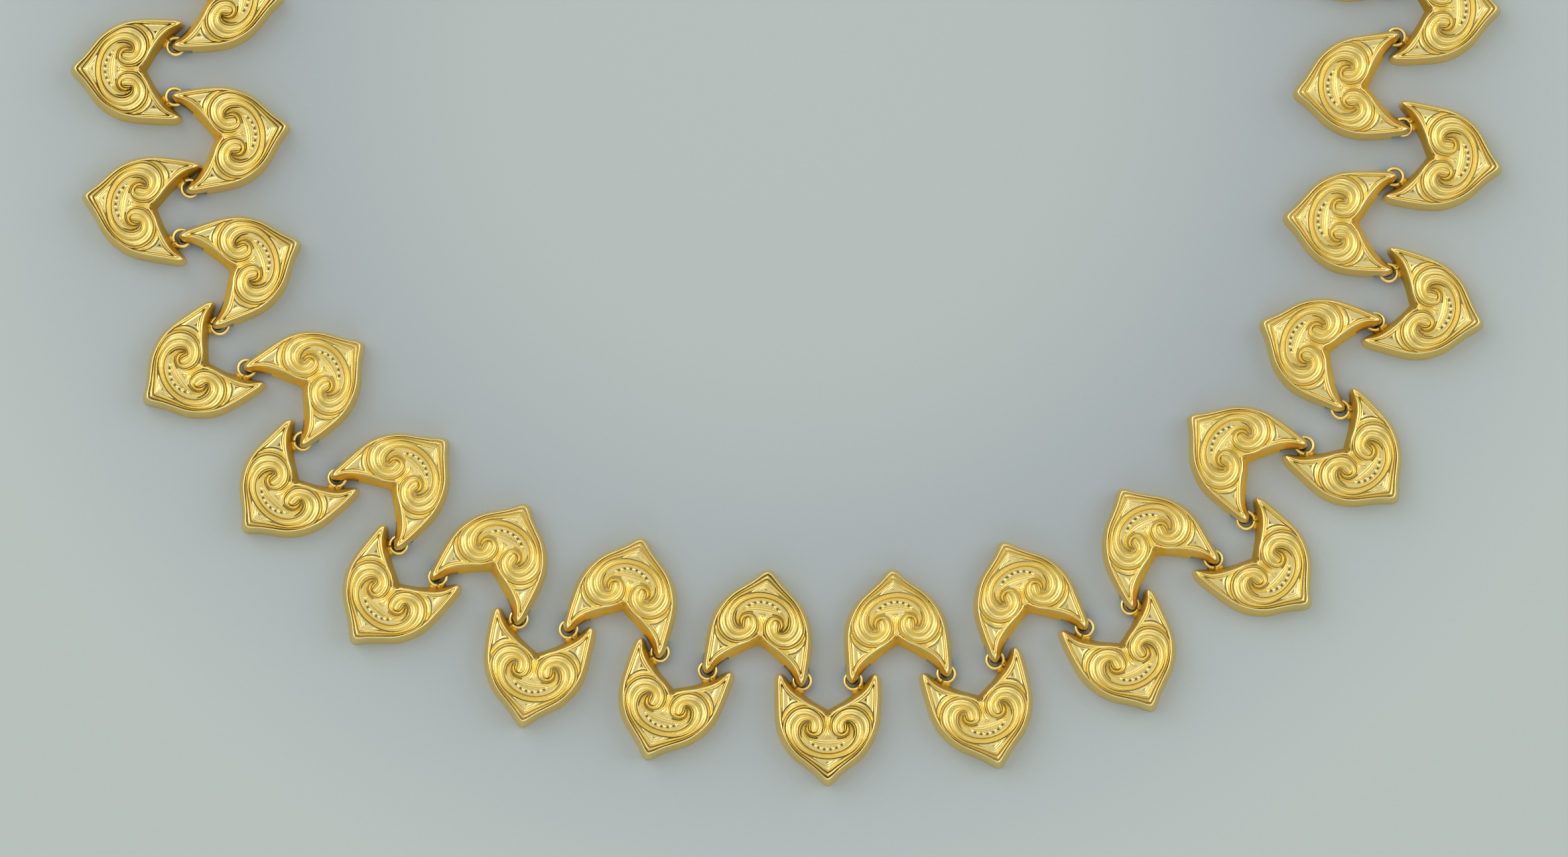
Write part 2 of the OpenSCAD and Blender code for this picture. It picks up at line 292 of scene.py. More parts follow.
# %% Pitch the tent
scene = bpy.context.scene
scene.view_settings.view_transform = "Standard"
scene.view_settings.look = "None"

tent = bpy.data.worlds.new("tent")
scene.world = tent
tent.use_nodes = True
wt = tent.node_tree
wt.nodes.clear()
sky_dir = wt.nodes.new("ShaderNodeTexCoord")
split = wt.nodes.new("ShaderNodeSeparateXYZ")
ramp = wt.nodes.new("ShaderNodeValToRGB")
glow = wt.nodes.new("ShaderNodeBackground")
sky_out = wt.nodes.new("ShaderNodeOutputWorld")
# columns: height of a direction (0 level, 1 overhead), brightness of the tent there
TENT = [(0.00, 0.24), (0.20, 0.32), (0.55, 0.52), (0.85, 0.68), (1.00, 0.72)]
ramp.color_ramp.elements[0].position = TENT[0][0]
ramp.color_ramp.elements[1].position = TENT[-1][0]
for height, level in TENT[1:-1]:
    ramp.color_ramp.elements.new(height)
for stop, (height, level) in zip(ramp.color_ramp.elements, TENT):
    stop.color = (level, level * 0.99, level * 0.97, 1)
wt.links.new(sky_dir.outputs["Generated"], split.inputs["Vector"])
wt.links.new(split.outputs["Z"], ramp.inputs["Fac"])
wt.links.new(ramp.outputs["Color"], glow.inputs["Color"])
wt.links.new(glow.outputs["Background"], sky_out.inputs["Surface"])
glow.inputs["Strength"].default_value = 1.0
print("tent levels:", [level for _, level in TENT])

# %% [markdown]
# ## The panels
# The tent alone would light every slope alike and leave the relief flat. Three large panels give
# it a bright side. They are wide, because a highlight on metal is a picture of the lamp.

# %% Hang the panels
def soft_panel(name, place, size, power):
    """An area lamp that faces the necklace; place and size in metres, power in watts."""
    data = bpy.data.lights.new(name, "AREA")
    data.shape, data.size, data.size_y = "RECTANGLE", size[0], size[1]
    data.energy = power
    panel = bpy.data.objects.new(name, data)
    scene.collection.objects.link(panel)
    panel.location = place
    panel.rotation_euler = (-Vector(place)).to_track_quat("-Z", "Y").to_euler()
    panel.visible_camera = False
    return panel


soft_panel("panel_left", (-0.95, 0.70, 1.25), (1.6, 1.6), 13.0)
soft_panel("panel_right", (1.25, 0.30, 1.00), (1.2, 1.2), 7.0)
soft_panel("panel_front", (0.1, -1.35, 1.0), (1.6, 1.0), 4.0)

# %% [markdown]
# ## A store for points and faces
# A link is made of more than thirty small pieces of surface. They could be as many objects,
# joined at the end, but plain lists are quicker. Three painted values go along with each point,
# so that the metal can later tell a ridge from a groove, and a wall from a face.

# %% Make the store
class Casting:
    """Points and faces, with three painted values: relief, wall, and painted shade with tarnish."""

    def __init__(self):
        self.points, self.faces, self.relief, self.wall, self.shade_and_tarnish = [], [], [], [], []

    def add(self, grid, relief, wall=0.0, shade_and_tarnish=0.0, closed=False, flip=False):
        rows, columns = grid.shape[:2]
        start = len(self.points)
        self.points += [tuple(p) for p in grid.reshape(-1, 3)]
        for store, value in ((self.relief, relief), (self.wall, wall), (self.shade_and_tarnish, shade_and_tarnish)):
            store += list(np.broadcast_to(value, (rows, columns)).ravel())
        for i in range(rows if closed else rows - 1):
            j = (i + 1) % rows
            for c in range(columns - 1):
                face = (start + i * columns + c, start + j * columns + c,
                        start + j * columns + c + 1, start + i * columns + c + 1)
                self.faces.append(face[::-1] if flip else face)

    def add_both(self, grid, relief, wall=0.0, shade_and_tarnish=0.0, flip=False):
        self.add(grid, relief, wall, shade_and_tarnish, flip=flip)
        self.add(grid * (-1, 1, 1), relief, wall, shade_and_tarnish, flip=not flip)

    def add_flat(self, loop, z, relief, wall, upward):
        """A flat lid inside a closed outline."""
        start = len(self.points)
        self.points += [(x, y, z) for x, y in loop]
        self.relief += [relief] * len(loop)
        self.wall += [wall] * len(loop)
        self.shade_and_tarnish += [0.0] * len(loop)
        face = tuple(range(start, start + len(loop)))
        self.faces.append(face[::-1] if upward else face)

    def join(self, other):
        start = len(self.points)
        self.points += other.points
        self.relief += other.relief
        self.wall += other.wall
        self.shade_and_tarnish += other.shade_and_tarnish
        self.faces += [tuple(start + v for v in face) for face in other.faces]


print("lists in the store:", list(vars(Casting())))

# %% [markdown]
# ## A helper for chased metal
# Chasing is a set of ridges and grooves that run side by side along a curve. Each such run is
# made as a strip: two guide lines, and a profile of heights across them. A strip follows its
# curve exactly, so a ridge a third of a millimetre wide stays crisp with few faces. Carving the
# same lines into an even grid would need ten times as many.

# %% Build strips of metal
def curve_through(points, per_span):
    """A smooth curve through the points, with per_span steps between each two."""
    p = np.asarray(points, float)
    p = np.vstack([2 * p[0] - p[1], p, 2 * p[-1] - p[-2]])
    out = []
    for i in range(1, len(p) - 2):
        a, b, c, d = p[i - 1:i + 3]
        for t in np.arange(per_span) / per_span:
            out.append(0.5 * ((2 * b) + (c - a) * t + (2 * a - 5 * b + 4 * c - d) * t * t
                              + (3 * b - a - 3 * c + d) * t ** 3))
    out.append(p[-2])
    return np.array(out)


def whole(half):
    """Half an outline that starts and ends on the middle line, and its mirror image."""
    return np.vstack([half, (half * (-1, 1))[-2:0:-1]])


def strip_between(stations, profile, profile_end=None, top=LINK_H, foot=FIELD_Z, per_span=3):
    """stations: x and y of one side, x and y of the other; profile: share across, height 0..1.
    With profile_end, the profile changes into that one along the last third of the strip."""
    line = curve_through(stations, per_span)
    start = np.array(profile)
    end = np.array(profile_end if profile_end is not None else profile)
    along = np.linspace(0, 1, len(line))[:, None]
    turn = np.clip((along - 0.62) / 0.25, 0, 1)
    across = start[:, 0] * (1 - turn) + end[:, 0] * turn
    height = start[:, 1] * (1 - turn) + end[:, 1] * turn
    flat = line[:, None, 0:2] + (line[:, None, 2:4] - line[:, None, 0:2]) * across[:, :, None]
    return np.dstack([flat, foot + (top - foot) * height]), height


print("points on a curve through three, with four steps a span:",
      len(curve_through([(0, 0), (1, 1), (2, 0)], 4)))

# %% [markdown]
# ## Profiles of the wall and the moulding
# A cast wall leans inward, so that it leaves the mould, and its edge is soft. The moulding round
# the face is a wide double ridge on the horns and only a rounded edge lower down, where the
# volutes take over. So two profiles are written, and the body blends from one to the other.

# %% Profiles of the wall and the moulding
FINE = 3
LEAF_LINES = curve_through(LEAF, FINE)
LEAF_LINES[0], LEAF_LINES[-1] = LEAF[0], LEAF[-1]
# columns: share of the way from the table line to the face line, height
WALL = [(0.03, 0.00), (0.00, 0.10), (0.44, 1.18), (0.72, 1.95), (0.84, 2.24), (0.92, 2.40),
        (1.00, 2.50)]
# how much of the walls' redder tint, a painted reflection, each of those lines gets
WALL_TINT = np.array([1, 1, 1, 1, 0.8, 0.4, 0.1])
# how far the rim sinks at the notch, where the stem runs out over it
NOTCH_DROP = 0.55
# columns: share across, height and shine of the double moulding on the horns
DOUBLE = [
    (0.08, 0.92, 1.0), (0.20, 1.00, 1.0), (0.34, 0.90, 0.8), (0.48, 0.50, 0.3),
    (0.60, 0.82, 0.7), (0.72, 0.88, 0.8), (0.86, 0.60, 0.5), (1.00, 0.10, 0.0),
]
# and of the single rounded edge elsewhere
SINGLE = [
    (0.10, 0.91, 1.0), (0.26, 0.98, 1.0), (0.42, 1.00, 1.0), (0.56, 0.96, 0.9),
    (0.68, 0.88, 0.8), (0.79, 0.72, 0.6), (0.90, 0.42, 0.3), (1.00, 0.06, 0.0),
]
# An undercut horn stays wide down to its underside.
# columns: height, share of the way from the table line to the face line
HORN_WALL = [(1.20, 0.07), (1.95, 0.56), (2.24, 0.76), (2.40, 0.87), (2.50, 1.00)]
print("lines up the wall:", len(WALL), "and across the moulding:", len(DOUBLE))

# %% [markdown]
# ## The body of a leaf
# Walls and moulding are one strip that runs round the outline, with the profile standing on it.
# An extruded outline with a bevel would be quicker, but a bevel is as wide everywhere, and here
# the width changes all the way round.

# %% Shape the body of a leaf
def leaf_body(outer):
    """The walls, the moulding, the sunk field and the underside of one leaf.

    A station is a place along LEAF: its whole numbers are the rows of the table. Each mask below
    is 1 on its part of the outline and fades out at its ends.
    """
    casting = Casting()
    table, face, foot = LEAF_LINES[:, 0:2], LEAF_LINES[:, 2:4], LEAF_LINES[:, 4:6]
    station = np.arange(len(LEAF_LINES)) / FINE
    on_horn = np.clip((station - 1.6) / 1.4, 0, 1) * np.clip((11.6 - station) / 1.4, 0, 1)
    low_notch = 1 - 0.75 * np.clip(1 - station / 1.3, 0, 1) ** 2
    notch_wall = np.clip((6.5 - station) / 1.0, 0, 1)
    wide = np.clip(station - 1.6, 0, 1) * np.clip(10.5 - station, 0, 1) * (0 if outer else 1)
    columns = []
    for share, z in WALL:
        share = share + (np.interp(z, *np.transpose(HORN_WALL)) - share) * wide
        flat = table + (face - table) * share[:, None]
        drop = (1 - low_notch) * (NOTCH_DROP if z > 2.3 else 0.0)
        columns.append(np.column_stack([flat, z - drop]))
    for (s1, h1, _), (s2, h2, _) in zip(DOUBLE, SINGLE):
        share = s1 * on_horn + s2 * (1 - on_horn)
        height = (h1 * on_horn + h2 * (1 - on_horn)) * low_notch
        flat = face + (foot - face) * share[:, None]
        columns.append(np.column_stack([flat, FIELD_Z + (LINK_H - FIELD_Z) * height]))
    grid = np.stack(columns, axis=1)
    n = len(WALL)
    paint, shade, dark = (np.zeros(grid.shape[:2]) for _ in range(3))
    paint[:, :n] = 0.9
    # The walls' redder tint is a painted reflection of warm gold: full on the notch walls, where
    # gold faces gold, and less on the other walls and toward the tip, which catches more light.
    at_tip = np.clip((station - 14.5) / 2.0, 0, 1) * (0.18 if outer else 0.05)
    shade[:, :n] = WALL_TINT * (0.55 + 0.45 * notch_wall - at_tip)[:, None]
    # Painted shade: the outer links' notch walls are darkened, as they lie in the shade of the
    # inner links.
    dark[:, :n] = WALL_TINT * notch_wall[:, None] * (0.37 if outer else 0.0)
    for i, ((_, _, t1), (_, _, t2)) in enumerate(zip(DOUBLE, SINGLE)):
        paint[:, n + i] = t1 * on_horn + t2 * (1 - on_horn)
    casting.add_both(grid, paint, shade, dark, flip=True)
    casting.add_flat(whole(foot), FIELD_Z + 0.02, 0.12, 0.0, True)
    casting.add_flat(whole(grid[:, 0, 0:2]), 0.0, 0.8, 1.0, False)
    return casting


print("outline points on half a leaf:", len(LEAF_LINES))

# %% [markdown]
# ## The volutes
# Two bands lock into each other in each volute. The outer one comes up from the middle, turns
# over the top and runs down beside the edge to the point. A formula for a spiral would be
# shorter, but the goldsmith drew these by eye. So each row of a table is one station read off
# the real band: a point on one side, then a point on the other.

# %% The outer band
OUTER_BAND = [
    (2.28, -1.86, 2.02, -1.69), (2.43, -2.29, 2.07, -2.14), (2.30, -2.76, 1.93, -2.51),
    (1.85, -3.12, 1.62, -2.70), (1.25, -3.24, 1.30, -2.66), (0.72, -3.06, 1.08, -2.42),
    (0.38, -2.59, 0.99, -2.09), (0.26, -1.89, 1.02, -1.76), (0.36, -1.22, 1.15, -1.42),
    (0.75, -0.59, 1.42, -1.09), (1.30, -0.11, 1.80, -0.84), (1.95, 0.18, 2.22, -0.70),
    (2.65, 0.24, 2.70, -0.68), (3.35, 0.09, 3.15, -0.84), (4.00, -0.30, 3.52, -1.16),
    (4.50, -0.90, 3.80, -1.62), (4.78, -1.62, 3.94, -2.19), (4.80, -2.32, 3.90, -2.80),
    (4.58, -3.02, 3.70, -3.42), (4.10, -3.80, 3.33, -4.06), (3.42, -4.62, 2.82, -4.64),
    (2.60, -5.36, 2.16, -5.10), (1.78, -6.02, 1.42, -5.54), (1.02, -6.64, 0.76, -5.96),
    (0.42, -7.16, 0.30, -6.26), (0.00, -7.46, 0.00, -6.40),
]
# share across the band, height
OUTER_PROFILE = [
    (0.00, 0.05), (0.04, 0.70), (0.10, 1.00), (0.18, 0.86), (0.25, 0.16), (0.31, 0.16),
    (0.37, 0.74), (0.44, 0.88), (0.51, 0.80), (0.60, 0.60), (0.68, 0.78), (0.76, 0.86),
    (0.84, 0.76), (0.93, 0.52), (1.00, 0.40),
]
# toward the point the first groove moves to the middle and the rest grows flat
OUTER_PROFILE_END = [
    (0.00, 0.05), (0.05, 0.72), (0.16, 0.98), (0.31, 0.84), (0.40, 0.12), (0.49, 0.12),
    (0.56, 0.74), (0.64, 0.90), (0.71, 0.78), (0.77, 0.62), (0.83, 0.72), (0.88, 0.76),
    (0.92, 0.70), (0.96, 0.60), (1.00, 0.50),
]
relief = Casting()
grid, paint = strip_between(OUTER_BAND, OUTER_PROFILE, OUTER_PROFILE_END)
relief.add_both(grid, paint)
print("outer band:", grid.shape)

# %% [markdown]
# ## The heart band
# The inner band starts as a tongue in the eye of the volute, turns the other way round it, and
# its two halves meet in a heart shape at the bottom. It carries three ridges and one deep groove.

# %% The heart band
HEART_BAND = [
    (1.58, -2.68, 1.62, -2.68), (1.25, -2.60, 1.88, -2.52), (1.06, -2.34, 2.02, -2.22),
    (1.00, -1.99, 2.02, -1.89), (1.06, -1.62, 1.98, -1.64), (1.28, -1.24, 2.06, -1.51),
    (1.66, -0.92, 2.22, -1.48), (2.16, -0.72, 2.38, -1.54), (2.70, -0.70, 2.54, -1.64),
    (3.18, -0.88, 2.68, -1.80), (3.56, -1.24, 2.79, -2.00), (3.82, -1.74, 2.87, -2.26),
    (3.92, -2.32, 2.90, -2.56), (3.87, -2.92, 2.86, -2.94), (3.65, -3.52, 2.70, -3.36),
    (3.27, -4.10, 2.42, -3.78), (2.75, -4.62, 2.04, -4.14), (2.10, -5.01, 1.56, -4.44),
    (1.40, -5.28, 1.04, -4.64), (0.70, -5.45, 0.52, -4.75), (0.00, -5.50, 0.00, -4.78),
]
HEART_PROFILE = [
    (0.00, 0.40), (0.06, 0.76), (0.13, 0.90), (0.20, 0.78), (0.26, 0.60), (0.32, 0.76),
    (0.38, 0.84), (0.44, 0.76), (0.50, 0.56), (0.56, 0.78), (0.63, 0.90), (0.70, 0.76),
    (0.76, 0.18), (0.81, 0.18), (0.86, 0.84), (0.92, 1.00), (0.97, 0.76), (1.00, 0.20),
]
grid, paint = strip_between(HEART_BAND, HEART_PROFILE)
relief.add_both(grid, paint)
print("heart band:", grid.shape)

# %% [markdown]
# ## The stem
# Between the volutes stands a fluted stem that widens into an apron. It is one more strip, laid
# across the middle line, whose flutes die out toward the apron.

# %% The stem
STEM = [(-0.36, -1.00, 0.36, -1.00), (-0.27, -1.50, 0.27, -1.50), (-0.24, -2.00, 0.24, -2.00),
        (-0.32, -2.40, 0.32, -2.40), (-0.55, -2.78, 0.55, -2.78), (-0.95, -3.10, 0.95, -3.10),
        (-1.10, -3.44, 1.10, -3.44)]
STEM_PROFILE = [(0.00, 0.35), (0.10, 0.58), (0.20, 0.66), (0.32, 0.40), (0.40, 0.68), (0.50, 0.80),
                (0.60, 0.68), (0.68, 0.40), (0.80, 0.66), (0.90, 0.58), (1.00, 0.35)]
STEM_PROFILE_END = [(0.10 * i, 0.46) for i in range(11)]
grid, paint = strip_between(STEM, STEM_PROFILE, STEM_PROFILE_END)
relief.add(grid, paint)
print("stem:", grid.shape)

# %% [markdown]
# ## Gable and claw
# A tiny gable stands at the foot of the stem. Under it a band of three ridges hangs like a claw
# from one volute to the other. The profile of each small band is named by its ridges.

# %% Gable and claw
BAND_OF_ONE = [(0.00, 0.00), (0.18, 0.66), (0.50, 1.00), (0.82, 0.66), (1.00, 0.00)]
GABLE = [(0.00, -2.74, 0.00, -2.96), (0.20, -3.00, 0.12, -3.06), (0.40, -3.22, 0.18, -3.13),
         (0.20, -3.26, 0.10, -3.12), (0.00, -3.27, 0.00, -3.12)]
grid, paint = strip_between(GABLE, BAND_OF_ONE, foot=FIELD_Z + 0.14, per_span=2)
relief.add_both(grid, paint)

BAND_OF_THREE = [(0.00, 0.55), (0.08, 0.74), (0.17, 0.86), (0.26, 0.76), (0.34, 0.44), (0.43, 0.64),
                 (0.51, 0.70), (0.59, 0.62), (0.67, 0.40), (0.80, 0.66), (0.93, 0.62), (1.00, 0.46)]
CLAW = [(2.46, -1.64, 2.32, -1.76), (2.70, -2.05, 2.46, -2.25), (2.76, -2.60, 2.35, -2.78),
        (2.56, -3.14, 1.95, -3.18), (2.10, -3.60, 1.36, -3.34), (1.42, -3.90, 0.86, -3.37),
        (0.70, -4.06, 0.44, -3.40), (0.00, -4.10, 0.00, -3.42)]
grid, paint = strip_between(CLAW, BAND_OF_THREE, top=LINK_H - 0.02)
relief.add_both(grid, paint)
print("claw:", grid.shape)

# %% [markdown]
# ## The channel of the beads
# Below the claw lies a crescent with a flat floor, on which the beads stand. The shade between
# the beads is painted into the points of the floor, not modelled, and the whole floor is darkened
# a little.

# %% The channel of the beads
# The beads lie on an arc: its centre, its radius, the angle from one bead to the next.
BEAD_CENTRE_Y, BEAD_ARC, BEAD_STEP, BEAD_R = -1.99, 2.46, 15.2, 0.27
CHANNEL = [(2.80, -2.25, 2.78, -2.27), (2.72, -3.36, 2.55, -3.10), (2.44, -3.78, 2.08, -3.58),
           (2.06, -4.14, 1.42, -3.88), (1.56, -4.46, 1.00, -4.00), (0.80, -4.74, 0.50, -4.06),
           (0.00, -4.82, 0.00, -4.08)]
grid, paint = strip_between(CHANNEL, [(i / 7, 0.62) for i in range(8)], per_span=5)
# Painted shade sits between the beads. Each mask is 1 in the middle of a gap and fades out round
# it.
from_centre = np.hypot(grid[:, :, 0], grid[:, :, 1] - BEAD_CENTRE_Y)
swing = np.degrees(np.arctan2(grid[:, :, 0], BEAD_CENTRE_Y - grid[:, :, 1]))
in_gap = np.clip(2.2 - np.abs(swing % BEAD_STEP - BEAD_STEP / 2) / 2.0, 0, 1)
in_row = np.clip(1.9 - np.abs(from_centre - BEAD_ARC - 0.04) / 0.09, 0, 1)
in_row *= swing < 3.6 * BEAD_STEP
relief.add_both(grid, paint, 0.0, 0.16 + 0.79 * in_gap * in_row)
print("channel:", grid.shape)

# %% [markdown]
# ## The collar
# On each shoulder a narrow band of two ridges separates the volute from the horn.

# %% The collar
BAND_OF_TWO = [(0.00, 0.30), (0.10, 0.70), (0.24, 0.88), (0.38, 0.74), (0.50, 0.54), (0.62, 0.72),
               (0.76, 0.88), (0.90, 0.70), (1.00, 0.30)]
COLLAR = [
    (2.10, 0.22, 2.05, 0.15), (2.50, 0.48, 2.47, 0.25), (3.00, 0.66, 2.98, 0.22),
    (3.50, 0.64, 3.42, 0.07), (4.00, 0.42, 3.90, -0.20), (4.42, 0.06, 4.30, -0.60),
    (4.76, -0.42, 4.62, -1.14), (4.92, -1.10, 4.80, -1.70),
]
grid, paint = strip_between(COLLAR, BAND_OF_TWO, top=LINK_H - 0.06)
relief.add_both(grid, paint)
print("relief points:", len(relief.points))

# %% [markdown]
# ## The beads
# Real granulation is made of small balls that are soldered down, so the seven beads are half
# balls in a row. They are built here and not as Blender's spheres, because the hidden
# lower halves would double their faces in every link.

# %% The beads
def bead(x, y, radius, top):
    """Half a ball whose highest point is at top."""
    rings, around = 4, 12
    grid = np.zeros((around, rings + 1, 3))
    for i in range(around):
        a = 2 * math.pi * i / around
        for j in range(rings + 1):
            b = math.pi / 2 * j / rings
            out = radius * math.sin(b)
            grid[i, j] = (x + out * math.cos(a), y + out * math.sin(a),
                          top - radius * (1 - math.cos(b)))
    return grid


for i in range(-3, 4):
    a = math.radians(BEAD_STEP * i)
    x, y = BEAD_ARC * math.sin(a), BEAD_CENTRE_Y - BEAD_ARC * math.cos(a)
    grid = bead(x, y, BEAD_R, LINK_H)
    # The lower rings of a bead are painted low, so the groove shade and film darken its foot.
    relief.add(grid, np.array([1.0, 0.95, 0.8, 0.5, 0.2]), closed=True, flip=True)
print("relief points with the beads:", len(relief.points))

# %% [markdown]
# ## The sunk cells
# The horns and the point hold three-sided cells with a dished floor. Each is its own outline,
# drawn in toward a centre in a few steps of height, which is how a punch leaves it.

# %% The sunk cells
def sunk_cell(casting, outline, centre, both, levels, shade_and_tarnish):
    """A dished cell: the outline drawn in toward its centre, sinking as it goes.

    With both, its mirror image on the other half of the leaf is made as well.
    """
    ring = curve_through(list(outline) + [outline[0]], 3)[:-1]
    columns, paint = [], []
    for share, z, tone in levels:
        flat = np.array(centre) + (ring - np.array(centre)) * share
        columns.append(np.column_stack([flat, np.full(len(flat), z)]))
        paint.append(tone)
    grid = np.stack(columns, axis=1)
    casting.add(grid, np.array(paint), 0.0, shade_and_tarnish, closed=True)
    if both:
        casting.add(grid * (-1, 1, 1), np.array(paint), 0.0, shade_and_tarnish, closed=True, flip=True)


HORN_CELL = [
    (4.90, 2.32), (4.64, 1.86), (4.18, 1.33), (3.70, 0.97), (3.36, 0.76), (3.62, 0.68),
    (4.02, 0.50), (4.42, 0.18), (4.74, -0.22), (4.86, -0.40), (4.89, 0.50), (4.91, 1.40),
]
# columns: share of the outline, height, shine
HORN_LEVELS = [
    (1.04, 2.36, 0.42), (0.96, 2.47, 0.82), (0.72, 2.455, 0.90), (0.46, 2.44, 0.85),
    (0.28, 2.42, 0.75), (0.15, 2.32, 0.15), (0.00, 2.28, 0.0),
]
# The cells take a little of the dark brown, which dims the bright reflection in their dish.
sunk_cell(relief, HORN_CELL, (4.00, 0.92), True, HORN_LEVELS, 0.17)
POINT_CELL = [
    (0.00, -5.56), (0.60, -5.52), (1.15, -5.42), (1.52, -5.38), (1.05, -5.78), (0.52, -6.12),
    (0.00, -6.44), (-0.52, -6.12), (-1.05, -5.78), (-1.52, -5.38), (-1.15, -5.42), (-0.60, -5.52),
]
POINT_LEVELS = [
    (1.00, 2.45, 0.60), (0.88, 2.49, 0.85), (0.74, 2.49, 0.85), (0.64, 2.45, 0.55),
    (0.52, 2.48, 0.85), (0.20, 2.46, 0.75), (0.07, 2.38, 0.10), (0.00, 2.36, 0.0),
]
sunk_cell(relief, POINT_CELL, (0.0, -5.86), False, POINT_LEVELS, 0.15)
print("relief faces:", len(relief.faces))

# %% [markdown]
# ## The wire eyes and the rib
# A wire eye is a ring of round wire, so it is a torus drawn as one closed strip. The stem runs
# out over the notch as a rib that grows thin on its way down the wall.

# %% Wire and rib
def ring_of_wire(casting, x, y, z, radius, wire_radius):
    around, section = 28, 10
    grid = np.zeros((around, section + 1, 3))
    for i in range(around):
        a = 2 * math.pi * i / around
        for j in range(section + 1):
            b = 2 * math.pi * j / section
            r = radius + wire_radius * math.cos(b)
            grid[i, j] = (x + r * math.cos(a), y + r * math.sin(a), z + wire_radius * math.sin(b))
    casting.add(grid, 0.9, 0.25, closed=True)


def spout(casting):
    """The stem runs out over the notch and down its wall as a rounded rib."""
    # columns: y, height, half width
    path = [(-1.45, 2.36, 0.18), (-1.15, 2.42, 0.24), (-0.92, 2.30, 0.29), (-0.77, 1.98, 0.29),
            (-0.61, 1.45, 0.26), (-0.46, 0.80, 0.20), (-0.34, 0.12, 0.14)]
    across = np.linspace(-1, 1, 9)
    grid = np.zeros((len(path), len(across), 3))
    for i, (y, z, half) in enumerate(path):
        for j, c in enumerate(across):
            lift = half * (math.sqrt(max(0.0, 1 - c * c)) - 0.30)
            grid[i, j] = (half * 1.35 * c, y + 0.50 * lift, z + 0.30 * lift)
    # Painted shade: the rib darkens on its way down the wall into the notch.
    dark = np.linspace(0.0, 0.5, len(path))[:, None]
    casting.add(grid, 0.8, 0.5, dark)


print("wire thickness in mm:", 2 * WIRE_R)

# %% [markdown]
# ## The solder
# The solder that holds an eye has run out along the wall, lumpy and a little burnt. Three rods
# with an uneven radius stand for it. Metaballs would melt together better, but they can't be
# told where the dirt lies.

# %% Rods and solder
def rod(casting, start, end, radii, wall, shade_and_tarnish, around=12):
    """A round rod. radii: share of the way from start to end, radius there."""
    start, end = Vector(start), Vector(end)
    axis = (end - start).normalized()
    side = axis.orthogonal().normalized()
    other = axis.cross(side)
    grid = np.zeros((around, len(radii), 3))
    for i in range(around):
        a = 2 * math.pi * i / around
        for j, (share, radius) in enumerate(radii):
            out = side * math.cos(a) + other * math.sin(a)
            grid[i, j] = start.lerp(end, share) + out * radius
    casting.add(grid, 0.7, wall, shade_and_tarnish, closed=True, flip=True)


# The solder is a seam along the wall and two drops that run up to the wire.
# columns: x, y and height where it starts, x, y and height where it ends, its radius
SOLDER = [
    (2.62, 1.70, 0.52, 4.00, 2.92, 0.50, 0.46),
    (3.16, 1.92, 0.40, 3.62, 2.52, 0.86, 0.40),
    (3.20, 2.44, 0.70, 3.86, 2.50, 0.66, 0.34),
]
# columns: share of its length, share of its radius
SEAM = [
    (0.00, 0.00), (0.04, 0.46), (0.14, 0.86), (0.26, 1.00), (0.38, 0.86), (0.50, 1.04),
    (0.62, 0.90), (0.74, 1.00), (0.86, 0.84), (0.96, 0.46), (1.00, 0.00),
]


def add_eye(casting):
    for side in (1, -1):
        ring_of_wire(casting, side * EYE_X, EYE_Y, EYE_Z, EYE_R, WIRE_R)
        for i, (x0, y0, z0, x1, y1, z1, radius) in enumerate(SOLDER):
            dark = [0.15 + 0.75 * (share if i == 0 else 0.5 + 0.5 * math.sin(9 * share + side + i))
                    for share, _ in SEAM]
            rod(casting, (side * x0, y0, z0), (side * x1, y1, z1),
                [(share, radius * r) for share, r in SEAM], 0.9, np.array(dark), around=10)


print("rods of solder on each eye:", len(SOLDER))

# %% [markdown]
# ## The pins
# A pin drops from each horn tip through the neighbour's eye to a round foot, and a bar under the
# wire joins the foot to the leaf. They lie in the dark, so they are plain rods, painted fully dark
# as the shade under the horn tips and inside the eyes.

# %% Pins
# columns: share of the pin's height, radius: a round foot and the pin above it
PIN_RADII = [
    (0.00, 0.0), (0.00, FOOT_R - 0.05), (0.04, FOOT_R), (0.24, FOOT_R), (0.28, FOOT_R - 0.04),
    (0.29, PIN_R + 0.05), (0.34, PIN_R), (1.00, PIN_R),
]
BAR_RADII = [(0.0, BAR_Z / 2), (1.0, BAR_Z / 2)]


def add_pin(casting):
    for side in (1, -1):
        x = side * PIN_X
        # Painted shade: pins, feet and bars are fully dark.
        rod(casting, (x, PIN_Y, 0.0), (x, PIN_Y, UNDERCUT_Z + 0.2), PIN_RADII, 1.0, 1.0, around=20)
        rod(casting, (x, UNDERCUT_Y - 0.25, BAR_Z / 2), (x, PIN_Y, BAR_Z / 2), BAR_RADII, 1.0, 1.0)


print("pin and wire leave this much air in mm:", round(EYE_R - WIRE_R - PIN_R, 2))

# %% [markdown]
# ## From lists to meshes
# The painted values become point attributes of the mesh, which the material can read by name.
# The two halves of a strip meet on the middle line, so points that fall together are merged.

# %% From lists to meshes
def to_mesh(name, casting):
    mesh = bpy.data.meshes.new(name)
    mesh.from_pydata(casting.points, [], casting.faces)
    # The third value holds painted shade as well as real tarnish.
    for label, values in (("relief", casting.relief), ("wall", casting.wall),
                          ("shade_and_tarnish", casting.shade_and_tarnish)):
        layer = mesh.attributes.new(label, "FLOAT", "POINT")
        layer.data.foreach_set("value", np.array(values, dtype=np.float32))
    return mesh


def merged(mesh, distance=0.002):
    bm = bmesh.new()
    bm.from_mesh(mesh)
    bmesh.ops.remove_doubles(bm, verts=bm.verts, dist=distance)
    bmesh.ops.dissolve_degenerate(bm, edges=bm.edges, dist=1e-5)
    bm.to_mesh(mesh)
    bm.free()
    return mesh


